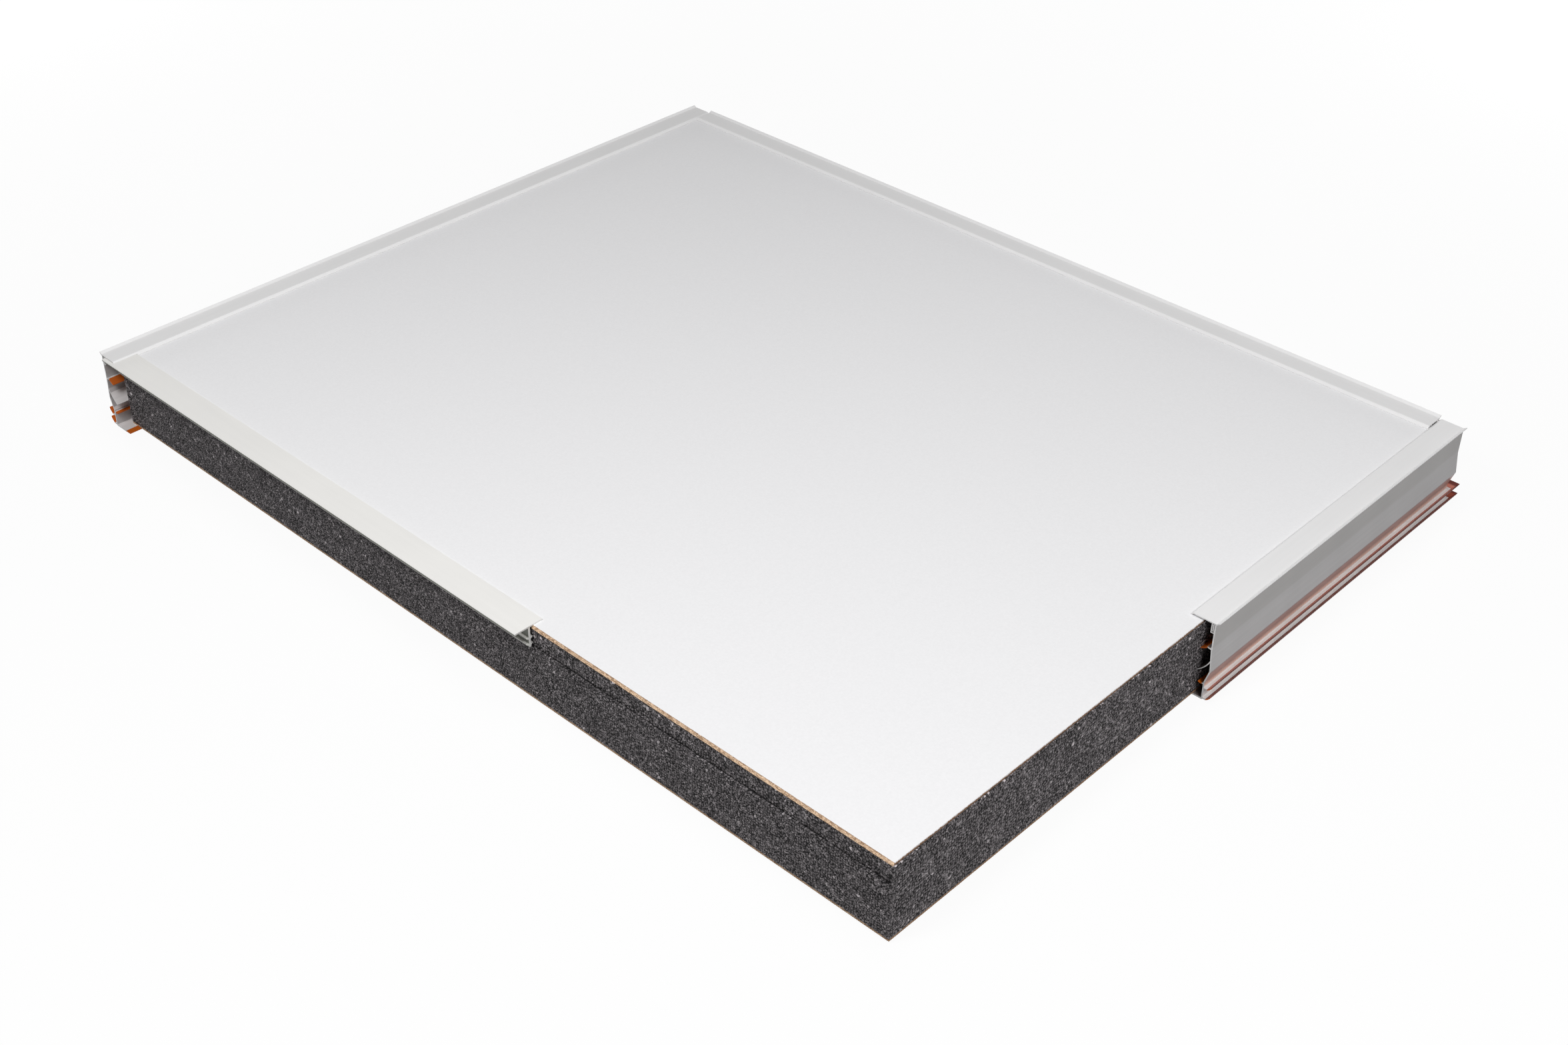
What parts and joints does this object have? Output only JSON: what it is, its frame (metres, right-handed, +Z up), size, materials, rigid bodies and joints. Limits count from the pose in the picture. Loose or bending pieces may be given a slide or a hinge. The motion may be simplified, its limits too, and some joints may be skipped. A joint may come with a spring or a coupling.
{
  "type": "insulated roof panel",
  "caption": "Flat insulated roof panel: graphite foam core between thin boards, white ceiling face, T-shaped joint cover strip and edge profiles with soft orange seal lips.",
  "frame": {"origin": "centre of the overall box on the floor that the profile feet stand on", "axes": "+X along the joint edge towards the cut-back end, +Y from the joint edge to the back edge, +Z up out of the ceiling face"},
  "size_m": [1.309, 1.0434, 0.1052],
  "materials": {
    "graphite_foam": "matte beads",
    "ceiling_board": "white coated chipboard",
    "outer_board": "raw chipboard",
    "strip_plastic": "satin white",
    "profile_plastic": "satin white",
    "cap_plastic": "satin white",
    "seal_rubber": "soft satin orange"
  },
  "bodies": {
    "root": {"insulation_core": "graphite_foam", "ceiling_board": "ceiling_board", "outer_board": "outer_board", "joint_cover_strip": "strip_plastic", "left_edge_profile": "profile_plastic", "back_edge_profile": "profile_plastic", "right_edge_profile": "profile_plastic", "left_seal_lips": "seal_rubber", "back_seal_lips": "seal_rubber", "right_seal_lips": "seal_rubber", "left_cover_cap": "cap_plastic", "back_cover_cap": "cap_plastic", "right_cover_cap": "cap_plastic"}
  },
  "joints": []
}
